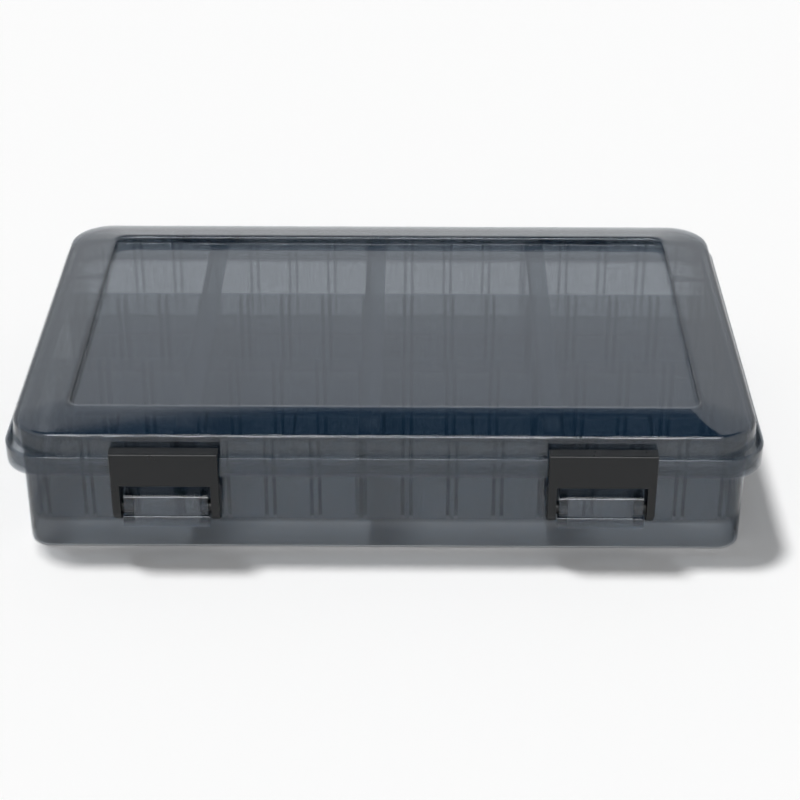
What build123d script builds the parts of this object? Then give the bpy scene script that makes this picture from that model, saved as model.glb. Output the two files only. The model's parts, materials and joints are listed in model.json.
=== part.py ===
"""Tackle box: a smoke plastic tray with twelve compartments, a hinged lid and two snap latches."""

from build123d import *
import math
import os

# Millimetres. Origin at the centre of the base, +X to the right, +Y to the hinge, +Z up.

# Tray
rim_length = 356.0
rim_width = 230.0
rim_corner = 20.0
rim_height = 10.7
rim_top = 55.9
rim_wall = 2.0
rim_overhang = 9.2  # from the tray's long walls to the outside of the rim
rim_overhang_side = 7.2  # the same at the short walls
tray_wall = 2.0
tray_corner = 12.0
floor_top = 15.0
floor_thickness = 2.0
foot_round = 0.8

# Compartments: three rows, with slots for loose dividers
partition_thickness = 2.0
slot_pitch = 21.5
rib_thickness = 1.6
rib_depth = 3.0
rib_root = 0.5  # how far a rib runs into the outer wall
divider_slots = (-4.5, -0.5, 3.5)  # slot places, counted in pitches from the middle
divider_thickness = 2.0
divider_lip_width = 10.2
divider_lip_thickness = 1.8
divider_fillet = 1.5  # under the wide top edge
divider_play = 0.3  # at each end
slot_play = 0.15  # at each face
lip_over_rib = 0.4
partition_below_divider = 0.2
divider_below_panel = 0.5

# Lid
lid_wall = 2.0
lid_corner = 22.0  # larger than the rim's, so a gap opens at each corner
lid_play = 0.8  # between the skirt and the inside of the rim
lid_lap = 0.9  # the skirt hangs this far below the rim's top
skirt_height = 10.8
skirt_draft = 6.0  # degrees
margin_drop = 3.7
margin_front = 22.1
margin_side = 25.7
shoulder_round = 2.4
window_corner = 5.5
window_recess = 4.5
window_panel = 1.5
window_edge = 2.4  # level strip round the window
gusset_thickness = 1.4
gusset_pitch = 41.4
side_gusset_pitch = 49.8
side_gussets = 3
seat_gap = 0.3  # the lid's gussets over the tray's wall, which they rest on
cut_over = 1.0  # how far a cut starts outside its face
level_band = 0.01  # half the height in which edges count as one level

# Latches and what they turn on
hardware_reach = 4.0  # latches and hinges stand this far outside the rim
latch_spacing = 202.8
latch_width = 50.4
latch_plate = 2.6
latch_leg = 4.1
latch_round = 1.2  # its front edge at the top and sides
latch_leg_gap = 0.8
latch_u_above_boss = 5.6
leg_shoulder = 1.0  # each leg starts to widen this far above the plate's lower edge
leg_slope = 8.0  # and is at its full width this far below it
flange_thickness = 1.4
flange_gap = 0.2
hook_thickness = 1.5
hook_gap = 0.2
ledge_gap = 0.5  # the lid's catch ledge over the rim's top
ledge_thickness = 1.4
ledge_side_gap = 4.0  # the ledge is this much shorter than the latch at each end
nib_height = 0.7
nib_thickness = 1.2
nib_gap = 0.6
boss_above_floor = 5.2
boss_height = 16.8
boss_lip_height = 6.2
boss_lip_proud = 0.8
boss_wall = 2.0
boss_cheek = 4.2  # the ends of the boss, which hold the latch's stubs
boss_round = 3.0
boss_gap = 0.7  # between the boss's lip and each leg
pivot_above_boss_foot = 8.0
stub_radius = 3.2
stub_length = 5.8
stub_play = 0.05

# Hinges
hinge_spacing = 202.8
knuckle_radius = 1.8
hinge_below_rim = 2.9  # the pins' centre under the rim's top
arm_over_rim = 0.4  # the lid's hinge arms pass this far over the rim
arm_thickness = 2.0
tray_knuckle_length = 20.0
lid_knuckle_length = 9.0
knuckle_end_gap = 0.3
knuckle_foot = 8.0  # the tray's knuckle runs down the rim this far
pin_radius = 1.0
pin_play = 0.05  # in the lid's knuckles, where the pin turns
pin_grip = 0.02  # in the tray's knuckle, which holds it

# Worked out from the values above
tray_length = rim_length - 2 * rim_overhang_side
tray_width = rim_width - 2 * rim_overhang
inner_length = tray_length - 2 * tray_wall
inner_width = tray_width - 2 * tray_wall
inner_corner = tray_corner - tray_wall
rim_bottom = rim_top - rim_height
row_width = (inner_width - 2 * partition_thickness) / 3
row_pitch = row_width + partition_thickness

lid_length = rim_length - 2 * (rim_wall + lid_play)
lid_width = rim_width - 2 * (rim_wall + lid_play)
lid_bottom = rim_top - lid_lap
shoulder = lid_bottom + skirt_height
lid_top = shoulder + margin_drop
skirt_lean = skirt_height * math.tan(math.radians(skirt_draft))
shoulder_length = lid_length - 2 * skirt_lean
shoulder_width = lid_width - 2 * skirt_lean
shoulder_corner = lid_corner - skirt_lean
window_length = shoulder_length - 2 * margin_side
window_width = shoulder_width - 2 * margin_front
panel_top = lid_top - window_recess
panel_bottom = panel_top - window_panel

divider_top = panel_bottom - divider_below_panel
wall_top = divider_top
partition_top = divider_top - partition_below_divider
rib_top = divider_top - divider_lip_thickness - lip_over_rib
slot_width = divider_thickness + 2 * slot_play
rib_offset = (slot_width + rib_thickness) / 2
slots_each_side = int((inner_length / 2 - rib_offset - rib_thickness / 2) / slot_pitch + 0.5)
slot_places = [(i + 0.5) * slot_pitch for i in range(-slots_each_side, slots_each_side)]

latch_front = -rim_width / 2 - hardware_reach
latch_back = latch_front + latch_plate
leg_radius = (rim_overhang + hardware_reach - latch_leg_gap) / 2
boss_foot = floor_top + boss_above_floor
boss_top = boss_foot + boss_height
pivot_y = latch_front + leg_radius
pivot_z = boss_foot + pivot_above_boss_foot
latch_u = boss_top + latch_u_above_boss
latch_inner_width = latch_width - 2 * latch_leg
boss_lip_width = latch_inner_width - 2 * boss_gap
boss_width = boss_lip_width - 2 * boss_lip_proud
ledge_bottom = rim_top + ledge_gap
ledge_top = ledge_bottom + ledge_thickness
nib_top = ledge_top + nib_height
flange_bottom = nib_top + flange_gap
latch_top = flange_bottom + flange_thickness
nib_front = latch_back + nib_gap
nib_back = nib_front + nib_thickness
hook_front = nib_back + nib_gap
hook_back = hook_front + hook_thickness

hinge_y = rim_width / 2 + hardware_reach - knuckle_radius
hinge_z = rim_top - hinge_below_rim
arm_bottom = rim_top + arm_over_rim
arm_top = arm_bottom + arm_thickness
lid_knuckle_x = tray_knuckle_length / 2 + knuckle_end_gap + lid_knuckle_length / 2
pin_length = tray_knuckle_length + 2 * (knuckle_end_gap + lid_knuckle_length)

latch_places = {"left": -latch_spacing / 2, "right": latch_spacing / 2}
hinge_places = {"left": -hinge_spacing / 2, "right": hinge_spacing / 2}
row_places = {"front": -row_pitch, "middle": 0.0, "back": row_pitch}


def rounded_block(length, width, corner, bottom, top, taper=0.0, mode=Mode.ADD):
    """Upright block with rounded corners, between two heights."""
    with BuildSketch(Plane.XY.offset(bottom)) as outline:
        RectangleRounded(length, width, corner)
    extrude(outline.sketch, amount=top - bottom, taper=taper, mode=mode)


def crosswise_rod(x, y, z, radius, length, mode=Mode.ADD):
    """Round rod or hole along X, centred at a point."""
    with BuildSketch(Plane.YZ.offset(x - length / 2)) as section:
        with Locations((y, z)):
            Circle(radius)
    extrude(section.sketch, amount=length, mode=mode)


def side_profile(x, length, points, mode=Mode.ADD):
    """Profile of (y, z) points, extruded along X about a place."""
    with BuildSketch(Plane.YZ.offset(x - length / 2)) as section:
        with BuildLine():
            Polyline(*points, close=True)
        make_face()
    extrude(section.sketch, amount=length, mode=mode)


def latch_boss(x):
    """Hollow boss on the front wall, open below, with a bored cheek for each latch stub."""
    wall_face = -tray_width / 2 + tray_wall / 2
    face = latch_front + boss_lip_proud
    with BuildSketch(Plane.YZ.offset(x - boss_width / 2)) as section:
        with BuildLine():
            Polyline((wall_face, boss_foot), (wall_face, boss_top), (face, boss_top),
                     (face, boss_foot), close=True)
        outline = make_face()
        fillet(outline.vertices().group_by(Axis.X)[0].sort_by(Axis.Y)[-1], boss_round)
    extrude(section.sketch, amount=boss_width)
    side_profile(x, boss_lip_width, [
        (wall_face, boss_foot), (wall_face, boss_foot + boss_lip_height),
        (face, boss_foot + boss_lip_height),
        (latch_front, boss_foot + boss_lip_height - boss_lip_proud), (latch_front, boss_foot),
    ])
    hollow_back = -tray_width / 2
    side_profile(x, boss_width - 2 * boss_cheek, [
        (hollow_back, boss_foot), (hollow_back, boss_top - boss_wall),
        (face + boss_wall, boss_top - boss_wall), (face + boss_wall, boss_foot),
    ], mode=Mode.SUBTRACT)
    crosswise_rod(x, pivot_y, pivot_z, stub_radius + stub_play, latch_inner_width, Mode.SUBTRACT)


def tray_knuckle(x):
    """Middle knuckle of a hinge, on the outside of the rim."""
    rim_middle = (rim_width - rim_wall) / 2
    foot = rim_top - knuckle_foot
    side_profile(x, tray_knuckle_length, [
        (rim_middle, foot), (rim_middle, hinge_z + knuckle_radius),
        (hinge_y, hinge_z + knuckle_radius), (hinge_y, hinge_z - knuckle_radius),
        (rim_width / 2, foot),
    ])
    crosswise_rod(x, hinge_y, hinge_z, knuckle_radius, tray_knuckle_length)
    crosswise_rod(x, hinge_y, hinge_z, pin_radius + pin_grip, tray_knuckle_length, Mode.SUBTRACT)


def lid_knuckle(x):
    """Outer knuckle of a hinge, on an arm from the lid's skirt that hooks over the rim."""
    skirt_inside = lid_width / 2 - lid_wall
    arm_outside = hinge_y + knuckle_radius
    arm_inside = hinge_y - knuckle_radius
    side_profile(x, lid_knuckle_length, [
        (skirt_inside, arm_bottom), (skirt_inside, arm_top), (arm_outside, arm_top),
        (arm_outside, hinge_z), (arm_inside, hinge_z), (arm_inside, arm_bottom),
    ])
    crosswise_rod(x, hinge_y, hinge_z, knuckle_radius, lid_knuckle_length)
    crosswise_rod(x, hinge_y, hinge_z, pin_radius + pin_play, lid_knuckle_length, Mode.SUBTRACT)


def catch_ledge(x):
    """Ledge on the lid's skirt with an upturned nib, which the latch hooks over."""
    skirt_inside = -lid_width / 2 + lid_wall
    side_profile(x, latch_width - 2 * ledge_side_gap, [
        (skirt_inside, ledge_bottom), (skirt_inside, ledge_top), (nib_back, ledge_top),
        (nib_back, nib_top), (nib_front, nib_top), (nib_front, ledge_bottom),
    ])


# Tray: outer wall, compartments above the raised floor and the open foot below it
with BuildPart() as tray:
    rounded_block(tray_length, tray_width, tray_corner, 0, wall_top)
    fillet(tray.faces().sort_by(Axis.Z)[0].edges(), foot_round)
    rounded_block(rim_length, rim_width, rim_corner, rim_bottom, rim_top)
    rounded_block(inner_length, inner_width, inner_corner, floor_top, wall_top, mode=Mode.SUBTRACT)
    rounded_block(inner_length, inner_width, inner_corner, 0, floor_top - floor_thickness,
                  mode=Mode.SUBTRACT)

    # Gutter between the wall and the rim, where the lid's skirt hangs
    with BuildSketch(Plane.XY.offset(rim_bottom + rim_wall)):
        RectangleRounded(rim_length - 2 * rim_wall, rim_width - 2 * rim_wall, rim_corner - rim_wall)
        RectangleRounded(tray_length, tray_width, tray_corner, mode=Mode.SUBTRACT)
    extrude(amount=rim_height - rim_wall, mode=Mode.SUBTRACT)

    with BuildSketch(Plane.XY.offset(floor_top)):
        with Locations((0, -row_pitch / 2), (0, row_pitch / 2)):
            Rectangle(inner_length + tray_wall, partition_thickness)
    extrude(amount=partition_top - floor_top)

    # Slot ribs on the long walls and on both faces of the partitions
    with BuildSketch(Plane.XY.offset(floor_top)):
        for place in slot_places:
            for rib_x in (place - rib_offset, place + rib_offset):
                with Locations((rib_x, -row_pitch / 2), (rib_x, row_pitch / 2)):
                    Rectangle(rib_thickness, partition_thickness + 2 * rib_depth)
                rib_y = inner_width / 2 - rib_depth
                rib_length = rib_depth + rib_root
                with Locations((rib_x, rib_y)):
                    Rectangle(rib_thickness, rib_length, align=(Align.CENTER, Align.MIN))
                with Locations((rib_x, -rib_y)):
                    Rectangle(rib_thickness, rib_length, align=(Align.CENTER, Align.MAX))
    extrude(amount=rib_top - floor_top)

    for x in latch_places.values():
        latch_boss(x)
    for x in hinge_places.values():
        tray_knuckle(x)

# Space inside the lid: the tub round the window and the gussets are left standing in it
with BuildPart() as lid_space:
    inner_lid_corner = lid_corner - lid_wall
    rounded_block(lid_length - 2 * lid_wall, lid_width - 2 * lid_wall, inner_lid_corner,
                  lid_bottom, shoulder - lid_wall, taper=skirt_draft)
    under_lean = (skirt_height - lid_wall) * math.tan(math.radians(skirt_draft))
    with BuildSketch(Plane.XY.offset(shoulder - lid_wall)):
        RectangleRounded(lid_length - 2 * (lid_wall + under_lean),
                         lid_width - 2 * (lid_wall + under_lean), inner_lid_corner - under_lean)
    with BuildSketch(Plane.XY.offset(lid_top - lid_wall)):
        RectangleRounded(window_length + 2 * window_edge, window_width + 2 * window_edge,
                         window_corner + window_edge)
    loft(ruled=True)
    rounded_block(window_length + 2 * lid_wall, window_width + 2 * lid_wall,
                  window_corner + lid_wall, panel_bottom, lid_top, mode=Mode.SUBTRACT)
    gusset_bottom = wall_top + seat_gap
    gussets_each_side = int(window_length / 2 / gusset_pitch)
    front_gussets = [i * gusset_pitch for i in range(-gussets_each_side, gussets_each_side + 1)]
    gusset_y = (window_width + lid_width) / 4
    gusset_x = (window_length + lid_length) / 4
    with BuildSketch(Plane.XY.offset(gusset_bottom)):
        for x in front_gussets:
            with Locations((x, gusset_y), (x, -gusset_y)):
                Rectangle(gusset_thickness, (lid_width - window_width) / 2)
        for i in range(side_gussets):
            y = (i - (side_gussets - 1) / 2) * side_gusset_pitch
            with Locations((gusset_x, y), (-gusset_x, y)):
                Rectangle((lid_length - window_length) / 2, gusset_thickness)
    extrude(amount=lid_top - gusset_bottom, mode=Mode.SUBTRACT)

# Lid
with BuildPart() as lid:
    rounded_block(lid_length, lid_width, lid_corner, lid_bottom, shoulder, taper=skirt_draft)
    with BuildSketch(Plane.XY.offset(shoulder)):
        RectangleRounded(shoulder_length, shoulder_width, shoulder_corner)
    with BuildSketch(Plane.XY.offset(lid_top)):
        RectangleRounded(window_length + 2 * window_edge, window_width + 2 * window_edge,
                         window_corner + window_edge)
    loft(ruled=True)
    shoulder_edges = lid.edges().filter_by_position(Axis.Z, shoulder - level_band,
                                                   shoulder + level_band)
    fillet(shoulder_edges, shoulder_round)
    add(lid_space.part, mode=Mode.SUBTRACT)
    rounded_block(window_length, window_width, window_corner, panel_top, lid_top + cut_over,
                  mode=Mode.SUBTRACT)
    for x in latch_places.values():
        catch_ledge(x)
    for x in hinge_places.values():
        lid_knuckle(x - lid_knuckle_x)
        lid_knuckle(x + lid_knuckle_x)


def make_latch(x):
    """Snap latch: plate with a hooked top flange, two legs and their pivot stubs."""
    with BuildPart() as latch:
        side_profile(x, latch_width, [
            (latch_front, latch_u), (latch_front, latch_top), (hook_back, latch_top),
            (hook_back, ledge_top + hook_gap), (hook_front, ledge_top + hook_gap),
            (hook_front, flange_bottom), (latch_back, flange_bottom), (latch_back, latch_u),
        ])
        for side in (-1, 1):
            leg_x = x + side * (latch_width - latch_leg) / 2
            side_profile(leg_x, latch_leg, [
                (latch_front, pivot_z), (latch_front, latch_u + leg_shoulder),
                (latch_back, latch_u + leg_shoulder),
                (latch_front + 2 * leg_radius, latch_u - leg_slope),
                (latch_front + 2 * leg_radius, pivot_z),
            ])
            crosswise_rod(leg_x, pivot_y, pivot_z, leg_radius, latch_leg)
            stub_x = x + side * (latch_inner_width - stub_length) / 2
            crosswise_rod(stub_x, pivot_y, pivot_z, stub_radius, stub_length)
        front_edges = latch.edges().group_by(Axis.Y)[0]
        front_sides = front_edges.filter_by(Axis.Z).group_by(Axis.X)
        top_edge = front_edges.filter_by(Axis.X).sort_by(Axis.Z)[-1]
        fillet(front_sides[0] + front_sides[-1] + [top_edge], latch_round)
    return latch


def make_divider(x, y):
    """Loose cross divider with a wide top edge to one side."""
    length = row_width - 2 * divider_play
    left = x - divider_thickness / 2
    with BuildPart() as divider:
        with BuildSketch(Plane.XZ.offset(-y - length / 2)):
            with BuildLine():
                Polyline((left, floor_top), (left, divider_top),
                         (left + divider_lip_width, divider_top),
                         (left + divider_lip_width, divider_top - divider_lip_thickness),
                         (left + divider_thickness, divider_top - divider_lip_thickness),
                         (left + divider_thickness, floor_top), close=True)
            outline = make_face()
            inner_corner_point = outline.vertices().sort_by_distance(
                (left + divider_thickness, divider_top - divider_lip_thickness))[0]
            fillet(inner_corner_point, divider_fillet)
        extrude(amount=length)
    return divider


def make_pin(x):
    """Steel hinge pin."""
    with BuildPart() as pin:
        crosswise_rod(x, hinge_y, hinge_z, pin_radius, pin_length)
    return pin


pieces = {"tray": tray, "lid": lid}
for side, x in latch_places.items():
    pieces[f"latch_{side}"] = make_latch(x)
for side, x in hinge_places.items():
    pieces[f"hinge_pin_{side}"] = make_pin(x)
for row, y in row_places.items():
    for number, slot in enumerate(divider_slots, start=1):
        pieces[f"divider_{row}_{number}"] = make_divider(slot * slot_pitch, y)

os.makedirs("parts", exist_ok=True)
for name, piece in pieces.items():
    piece.part.label = name
    export_step(piece.part, f"parts/{name}.step")
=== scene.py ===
import json
import math

import bmesh
import bpy
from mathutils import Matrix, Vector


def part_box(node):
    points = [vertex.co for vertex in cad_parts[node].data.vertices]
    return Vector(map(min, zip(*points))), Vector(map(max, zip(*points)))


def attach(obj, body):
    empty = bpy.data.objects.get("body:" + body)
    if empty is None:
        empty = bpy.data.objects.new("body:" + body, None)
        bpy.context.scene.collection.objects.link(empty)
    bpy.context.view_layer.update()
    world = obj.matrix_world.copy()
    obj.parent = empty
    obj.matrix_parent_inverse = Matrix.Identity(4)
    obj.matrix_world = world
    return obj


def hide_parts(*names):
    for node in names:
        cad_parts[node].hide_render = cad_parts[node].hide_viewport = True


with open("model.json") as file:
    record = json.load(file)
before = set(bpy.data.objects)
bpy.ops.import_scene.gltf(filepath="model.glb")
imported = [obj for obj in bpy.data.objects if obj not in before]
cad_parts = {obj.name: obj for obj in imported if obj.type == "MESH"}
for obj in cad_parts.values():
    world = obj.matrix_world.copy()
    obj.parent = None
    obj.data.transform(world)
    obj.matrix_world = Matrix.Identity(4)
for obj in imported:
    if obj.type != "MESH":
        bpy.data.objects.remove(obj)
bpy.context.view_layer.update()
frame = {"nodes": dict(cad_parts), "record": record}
bodies = frame["record"]["behaviour"]["bodies"]
mm = 0.001
print("frame loaded:", len(frame["nodes"]), "nodes")


def fromHex(code):
    # sRGB hex to the linear colour that the shaders take
    parts = [int(code[i:i + 2], 16) / 255 for i in (0, 2, 4)]
    return [c / 12.92 if c <= 0.04045 else ((c + 0.055) / 1.055) ** 2.4 for c in parts] + [1.0]


def addNode(tree, kind, settings=None, links=None):
    # a setting goes to the socket of that name or number, or else to the node itself
    node = tree.nodes.new(kind)
    for name, value in (settings or {}).items():
        if isinstance(name, int) or name in node.inputs:
            node.inputs[name].default_value = value
        else:
            setattr(node, name, value)
    for name, source in (links or {}).items():
        tree.links.new(source, node.inputs[name])
    return node


def newMaterial(name):
    material = bpy.data.materials.new(name)
    material.use_nodes = True
    material.node_tree.nodes.clear()
    return material, material.node_tree


def objectPlace(tree):
    return addNode(tree, "ShaderNodeTexCoord").outputs["Object"]


white = fromHex("FFFFFF")
noiseSpan = {"From Min": 0.3, "From Max": 0.7}  # nearly all values of a noise lie in here

# Smoke tinted clear polystyrene, injection moulded in a polished mould. The grey is in the
# plastic, so a 2 mm wall passes about half of the light, a rib seen from its edge is nearly
# black, and the gloss on both faces mirrors the white room.
smoke = {
    "passed": "999FA4",
    "density": 400.0,  # per metre, with the colour above: a 2 mm wall passes a little over half
    "face": "F9FAFB",
    "haze": "4A7DAB",
    "hazeShare": 0.065,
    "headOn": 0.05,  # share mirrored head on, near that of an IOR of 1.55
    "growth": 4.5,  # power of its growth towards a glancing look, near that IOR's too
    "flowSize": 60 * mm,
    "gloss": (0.015, 0.05),
    "rippleSize": 30 * mm,
    "ripple": 0.0015 * mm,
}


def smokePolystyrene(name, look):
    material, tree = newMaterial(name)
    place = objectPlace(tree)
    flow = addNode(tree, "ShaderNodeTexNoise", {"Scale": 1 / look["flowSize"], "Detail": 2.0},
                   {"Vector": place})
    spread = {**noiseSpan, "To Min": look["gloss"][0], "To Max": look["gloss"][1]}
    gloss = addNode(tree, "ShaderNodeMapRange", spread, {"Value": flow.outputs["Fac"]})
    ripple = addNode(tree, "ShaderNodeTexNoise",
                     {"Scale": 1 / look["rippleSize"], "Detail": 0.0}, {"Vector": place})
    bump = addNode(tree, "ShaderNodeBump", {"Distance": look["ripple"]},
                   {"Height": ripple.outputs["Fac"]})

    # the share mirrored grows towards a glancing look, the same on both faces of a wall
    facing = addNode(tree, "ShaderNodeLayerWeight", {"Blend": 0.5}).outputs["Facing"]
    steep = addNode(tree, "ShaderNodeMath", {"operation": "POWER", 1: look["growth"]}, {0: facing})
    mirrored = addNode(tree, "ShaderNodeMapRange",
                       {"From Min": 0.0, "From Max": 1.0, "To Min": look["headOn"], "To Max": 1.0},
                       {"Value": steep.outputs[0]})

    through = addNode(tree, "ShaderNodeBsdfTransparent", {"Color": fromHex(look["face"])})
    haze = addNode(tree, "ShaderNodeBsdfDiffuse", {"Color": fromHex(look["haze"])})
    body = addNode(tree, "ShaderNodeMixShader", {0: look["hazeShare"]},
                   {1: through.outputs[0], 2: haze.outputs[0]})
    shine = addNode(tree, "ShaderNodeBsdfAnisotropic", {"Color": white},
                    {"Roughness": gloss.outputs[0], "Normal": bump.outputs[0]})
    surface = addNode(tree, "ShaderNodeMixShader", links={
        0: mirrored.outputs[0], 1: body.outputs[0], 2: shine.outputs[0]})
    depth = addNode(tree, "ShaderNodeVolumeAbsorption",
                    {"Color": fromHex(look["passed"]), "Density": look["density"]})
    addNode(tree, "ShaderNodeOutputMaterial",
            links={"Surface": surface.outputs[0], "Volume": depth.outputs[0]})
    return material


# Black ABS from a lightly textured mould: satin, with a fine grain that breaks up the
# highlights and handled patches that are a little duller.
latchPlastic = {
    "colour": "121517",
    "worn": "17191C",
    "index": 1.54,
    "shine": 0.3,
    "grainSize": 0.45 * mm,  # the real grain is near 0.1 mm, drawn coarser to show
    "grain": 0.012 * mm,
    "wearSize": 9 * mm,
    "roughness": (0.27, 0.38),
}


def satinAbs(name, look):
    material, tree = newMaterial(name)
    place = objectPlace(tree)
    wear = addNode(tree, "ShaderNodeTexNoise", {"Scale": 1 / look["wearSize"], "Detail": 4.0},
                   {"Vector": place}).outputs["Fac"]
    colour = addNode(tree, "ShaderNodeMix",
                     {"data_type": "RGBA", 6: fromHex(look["colour"]), 7: fromHex(look["worn"])},
                     {0: wear})
    spread = {**noiseSpan, "To Min": look["roughness"][0], "To Max": look["roughness"][1]}
    rough = addNode(tree, "ShaderNodeMapRange", spread, {"Value": wear})
    grain = addNode(tree, "ShaderNodeTexNoise", {"Scale": 1 / look["grainSize"], "Detail": 2.0},
                    {"Vector": place})
    bump = addNode(tree, "ShaderNodeBump", {"Distance": look["grain"]},
                   {"Height": grain.outputs["Fac"]})
    shader = addNode(tree, "ShaderNodeBsdfPrincipled",
                     {"IOR": look["index"], "Specular IOR Level": look["shine"]},
                     {"Base Color": colour.outputs[2], "Roughness": rough.outputs[0],
                      "Normal": bump.outputs[0]})
    addNode(tree, "ShaderNodeOutputMaterial", links={"Surface": shader.outputs[0]})
    return material


# Drawn stainless steel wire: bright, with long fine draw lines along it.
pinSteel = {
    "colour": "B9BBBD",
    "lineLength": 12 * mm,
    "lineWidth": 0.25 * mm,
    "roughness": (0.22, 0.4),
}


def drawnSteel(name, look):
    material, tree = newMaterial(name)
    lineScale = (1 / look["lineLength"], 1 / look["lineWidth"], 1 / look["lineWidth"])
    stretched = addNode(tree, "ShaderNodeMapping", {"Scale": lineScale},
                        {"Vector": objectPlace(tree)})
    lines = addNode(tree, "ShaderNodeTexNoise", {"Scale": 1.0, "Detail": 2.0},
                    {"Vector": stretched.outputs[0]})
    spread = {**noiseSpan, "To Min": look["roughness"][0], "To Max": look["roughness"][1]}
    rough = addNode(tree, "ShaderNodeMapRange", spread, {"Value": lines.outputs["Fac"]})
    shader = addNode(tree, "ShaderNodeBsdfPrincipled",
                     {"Base Color": fromHex(look["colour"]), "Metallic": 1.0},
                     {"Roughness": rough.outputs[0]})
    addNode(tree, "ShaderNodeOutputMaterial", links={"Surface": shader.outputs[0]})
    return material


smokeMoulded = smokePolystyrene("smokePolystyreneMoulded", smoke)
latchAbs = satinAbs("blackAbsSatin", latchPlastic)
steelWire = drawnSteel("stainlessWireDrawn", pinSteel)
print("materials made")

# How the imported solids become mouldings: angles in degrees between neighbouring faces
moulding = {
    "weld": 0.001 * mm,
    "flat": 0.3,  # up to this, triangles are joined to one face
    "sharp": 45,  # past this, an edge is rounded
    "shortest": 0.45 * mm,  # unless it is shorter than this and at no named height
    "level": 0.02 * mm,  # how near to a height an edge lies to be at it
    "levelSteps": 4,  # faces across the rounding at a named height
    "steps": 2,  # and across any other
    "smooth": 34,  # up to this, faces shade as one
    "crease": 5,  # but past this, a level strip and the slope beside it meet in a crease
    "fall": 0.5 * mm,  # where the slope falls further than this
}


def edgesPast(bm, angle, height=None):
    # edges where faces meet at more than this angle: the long ones, or all those at one height
    found = []
    for edge in bm.edges:
        if height is None:
            wanted = edge.calc_length() > moulding["shortest"]
        else:
            wanted = all(abs(v.co.z - height) < moulding["level"] for v in edge.verts)
        if wanted and edge.is_manifold and edge.calc_face_angle() > math.radians(angle):
            found.append(edge)
    return found


def roundEdges(bm, edges, radius, steps):
    bmesh.ops.bevel(bm, geom=edges, offset=radius, offset_type="OFFSET", affect="EDGES",
                    segments=steps, profile=0.5, material=-1, clamp_overlap=False)


def markShading(bm, heights):
    for face in bm.faces:
        face.smooth = True
    for edge in bm.edges:
        edge.smooth = edge.calc_face_angle() < math.radians(moulding["smooth"])
    for height in heights:
        for edge in edgesPast(bm, moulding["crease"], height):
            lowest = min(v.co.z for face in edge.link_faces for v in face.verts)
            if height - lowest > moulding["fall"]:
                edge.smooth = False


def softened(node, name, body, material, levels, radius=None):
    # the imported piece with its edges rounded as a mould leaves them: first those at the
    # heights in levels, each with its own radius, then any sharp ones that are left
    bm = bmesh.new()
    bm.from_mesh(frame["nodes"][node].data)
    bmesh.ops.remove_doubles(bm, verts=bm.verts, dist=moulding["weld"])
    bmesh.ops.dissolve_limit(bm, angle_limit=math.radians(moulding["flat"]), verts=bm.verts,
                             edges=bm.edges)
    for height, levelRadius in levels.items():
        edges = edgesPast(bm, moulding["sharp"], height)
        roundEdges(bm, edges, levelRadius, moulding["levelSteps"])
    if radius:
        roundEdges(bm, edgesPast(bm, moulding["sharp"]), radius, moulding["steps"])
    markShading(bm, levels)
    mesh = bpy.data.meshes.new(name)
    bm.to_mesh(mesh)
    bm.free()
    mesh.materials.append(material)
    piece = bpy.data.objects.new(name, mesh)
    bpy.context.scene.collection.objects.link(piece)
    flatten = piece.modifiers.new("flatFaces", "WEIGHTED_NORMAL")
    flatten.mode = "FACE_AREA"
    flatten.weight = 100  # the broad faces stay flat, and the roundings turn
    flatten.keep_sharp = True
    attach(piece, body)
    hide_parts(node)


tray = {
    "rimTop": 55.9 * mm,
    "rimBottom": 45.2 * mm,
    "rimRadius": 0.8 * mm,
    "wallTop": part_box("tray")[1][2],
    "wallRadius": 0.6 * mm,
    "radius": 0.3 * mm,
}
softened("tray", "tray_moulding", "tray", smokeMoulded, {
    tray["rimTop"]: tray["rimRadius"],
    tray["rimBottom"]: tray["rimRadius"],
    tray["wallTop"]: tray["wallRadius"],
}, tray["radius"])

lid = {
    "top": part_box("lid")[1][2],
    "windowRadius": 1.3 * mm,
    "panelTop": 65.0 * mm,
    "panelRadius": 0.4 * mm,
    "skirtBottom": 55.0 * mm,
    "skirtRadius": 0.4 * mm,
}
softened("lid", "lid_moulding", "lid", smokeMoulded, {
    lid["top"]: lid["windowRadius"],
    lid["panelTop"]: lid["panelRadius"],
    lid["skirtBottom"]: lid["skirtRadius"],
})

latch = {"radius": 0.3 * mm}
for side in ("left", "right"):
    softened(f"latch_{side}", f"latch_{side}_moulding", f"latch_{side}", latchAbs,
             {}, latch["radius"])
print("box and latches made")

divider = {"radius": 0.35 * mm}
pin = {"radius": 0.2 * mm}
for node in sorted(frame["nodes"]):
    body = next(name for name, members in bodies.items() if node in members)
    if node.startswith("divider"):
        softened(node, node + "_moulding", body, smokeMoulded, {},
                 divider["radius"])
    if node.startswith("hinge_pin"):
        softened(node, node + "_wire", body, steelWire, {}, pin["radius"])
print("dividers and pins made")


def seenBy(tree, kinds):
    # 1 for the kinds of ray that are named, and 0 for the others
    path = addNode(tree, "ShaderNodeLightPath")
    found = path.outputs[kinds[0]]
    for kind in kinds[1:]:
        found = addNode(tree, "ShaderNodeMath", {"operation": "MAXIMUM"},
                        {0: found, 1: path.outputs[kind]}).outputs[0]
    return found


# Pale matt floor, lifted a little where it is looked at, which keeps the object's shadow
studioFloor = {
    "size": 6.0,
    "colour": "F4F4F4",
    "lift": 0.08,
}

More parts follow.
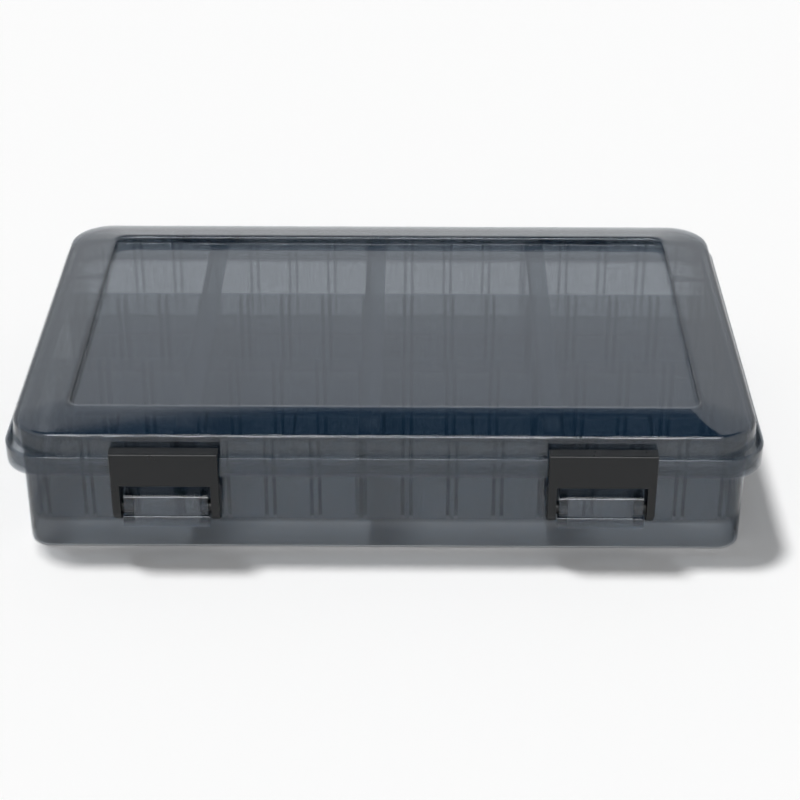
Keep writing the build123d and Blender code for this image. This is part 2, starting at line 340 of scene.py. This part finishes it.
bm = bmesh.new()
bmesh.ops.create_grid(bm, x_segments=1, y_segments=1, size=studioFloor["size"] / 2)
floorMesh = bpy.data.meshes.new("floor")
bm.to_mesh(floorMesh)
bm.free()
floor = bpy.data.objects.new("floor", floorMesh)
bpy.context.scene.collection.objects.link(floor)
floorPaper, tree = newMaterial("floorPaper")
matt = addNode(tree, "ShaderNodeBsdfDiffuse", {"Color": fromHex(studioFloor["colour"])})
lift = addNode(tree, "ShaderNodeMath", {"operation": "MULTIPLY", 1: studioFloor["lift"]},
               {0: seenBy(tree, ("Is Camera Ray", "Is Glossy Ray", "Is Transmission Ray"))})
glow = addNode(tree, "ShaderNodeEmission", {"Color": white}, {"Strength": lift.outputs[0]})
both = addNode(tree, "ShaderNodeAddShader", links={0: matt.outputs[0], 1: glow.outputs[0]})
addNode(tree, "ShaderNodeOutputMaterial", links={"Surface": both.outputs[0]})
floorMesh.materials.append(floorPaper)

# White room that the gloss sees dark overhead. It lights the box only softly.
room = {
    "whiteUpTo": 51.7,  # degrees above the horizon, where what the gloss mirrors turns dark
    "slant": 0.03,  # how far that line climbs to the left, as a share of the way across
    "blur": 0.003,  # half the width of the line, in the sine of its angle
    "overhead": "1E2A38",
    "ambient": 0.24,
}

world = bpy.data.worlds.new("studioWhite")
bpy.context.scene.world = world
world.use_nodes = True
tree = world.node_tree
tree.nodes.clear()
way = addNode(tree, "ShaderNodeSeparateXYZ",
              links={0: addNode(tree, "ShaderNodeTexCoord").outputs["Generated"]})
slanted = addNode(tree, "ShaderNodeMath", {"operation": "MULTIPLY_ADD", 1: room["slant"]},
                  {0: way.outputs["X"], 2: way.outputs["Z"]})
edge = math.sin(math.radians(room["whiteUpTo"]))
dark = addNode(tree, "ShaderNodeMapRange",
               {"From Min": edge - room["blur"], "From Max": edge + room["blur"],
                "To Min": 0.0, "To Max": 1.0}, {"Value": slanted.outputs[0]})
walls = addNode(tree, "ShaderNodeMix",
                {"data_type": "RGBA", 6: white, 7: fromHex(room["overhead"])},
                {0: dark.outputs[0]})
ambient = addNode(tree, "ShaderNodeBackground", {"Color": white, "Strength": room["ambient"]})
mirror = addNode(tree, "ShaderNodeBackground", {"Strength": 1.0}, {"Color": walls.outputs[2]})
plain = addNode(tree, "ShaderNodeBackground", {"Color": white, "Strength": 1.0})
lit = addNode(tree, "ShaderNodeMixShader", links={
    0: seenBy(tree, ("Is Glossy Ray",)), 1: ambient.outputs[0], 2: mirror.outputs[0]})
seen = addNode(tree, "ShaderNodeMixShader", links={
    0: seenBy(tree, ("Is Camera Ray", "Is Transmission Ray")), 1: lit.outputs[0],
    2: plain.outputs[0]})
addNode(tree, "ShaderNodeOutputWorld", links={"Surface": seen.outputs[0]})

# The key lamp throws the soft shadow to the right, and no gloss mirrors it
key = {
    "high": 72.5,  # degrees above the floor
    "round": 60.0,  # degrees round to the left from straight behind
    "soft": 10.0,
    "strength": 2.45,
}
# what the rounded edges mirror as thin lines, and no matt surface is lit by
softBoxes = {
    "highStrip": {"place": (0.0, -0.55, 1.28), "size": (1.3, 0.16), "watts": 5.5},
    "frontBox": {"place": (0.0, -1.02, 0.94), "size": (1.2, 0.3), "watts": 10.0},
}


def newLamp(name, kind, turn):
    light = bpy.data.lights.new(name, kind)
    lamp = bpy.data.objects.new(name, light)
    bpy.context.scene.collection.objects.link(lamp)
    lamp.rotation_euler = turn
    return lamp, light


lamp, light = newLamp("keyLamp", "SUN",
                      (-math.radians(90 - key["high"]), 0, math.radians(key["round"])))
light.angle = math.radians(key["soft"])
light.energy = key["strength"]
lamp.visible_glossy = False
for name, box in softBoxes.items():
    x, y, z = box["place"]
    lamp, light = newLamp(name, "AREA", (-math.atan2(y, z), math.atan2(x, z), 0))
    lamp.location = box["place"]
    light.shape = "RECTANGLE"
    light.size, light.size_y = box["size"]
    light.energy = box["watts"]
    lamp.visible_diffuse = False

camera = {
    "place": (0.01405, -0.88381, 0.54558),
    "down": 30.78,
    "left": 0.4756,
    "focal": 88.97,
    "filmWidth": 36.0,
    "nearest": 0.01,
}

lens = bpy.data.cameras.new("camera")
lens.lens = camera["focal"]
lens.sensor_width = camera["filmWidth"]
lens.clip_start = camera["nearest"]
eye = bpy.data.objects.new("camera", lens)
bpy.context.scene.collection.objects.link(eye)
eye.location = camera["place"]
eye.rotation_euler = (math.radians(90 - camera["down"]), 0, math.radians(camera["left"]))
bpy.context.scene.camera = eye
bpy.context.scene.view_settings.view_transform = "Standard"
bpy.context.scene.cycles.transparent_max_bounces = 40  # a look through the box crosses many walls
print("studio made")
